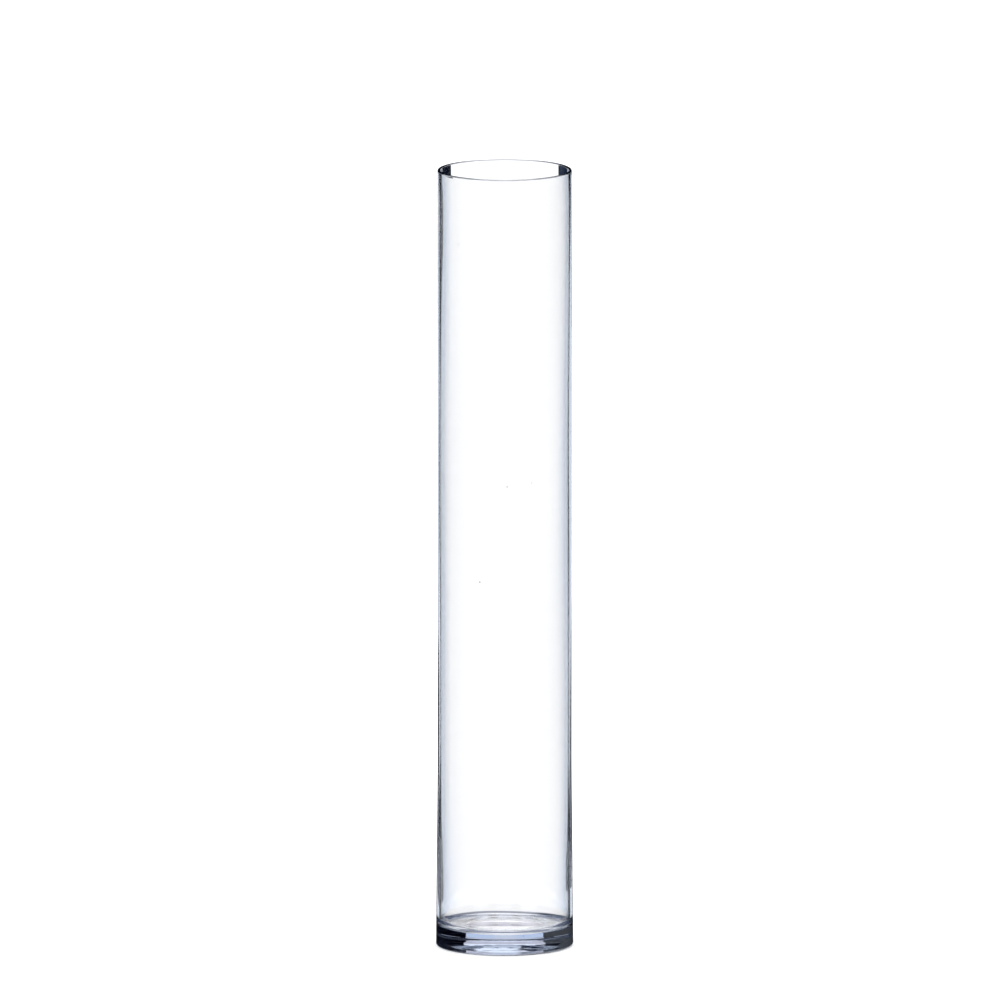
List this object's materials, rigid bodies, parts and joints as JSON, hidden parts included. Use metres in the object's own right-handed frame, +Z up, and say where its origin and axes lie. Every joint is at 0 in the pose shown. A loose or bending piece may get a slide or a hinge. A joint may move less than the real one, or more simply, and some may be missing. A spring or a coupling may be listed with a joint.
{
  "type": "glass cylinder vase",
  "caption": "Tall straight-sided vase of clear glass: open polished rim, thin even wall, thick solid base with a rounded heel and a shallow hollow under the foot.",
  "frame": {"origin": "on the vase's axis, at the level of the foot that it stands on", "axes": "+Z up along the axis, out of the mouth; +X and +Y across it, in any direction because the vase is round"},
  "size_m": [0.0888, 0.0888, 0.508],
  "materials": {
    "clear_glass": "polished"
  },
  "bodies": {
    "root": {"glass_body": "clear_glass"}
  },
  "joints": []
}
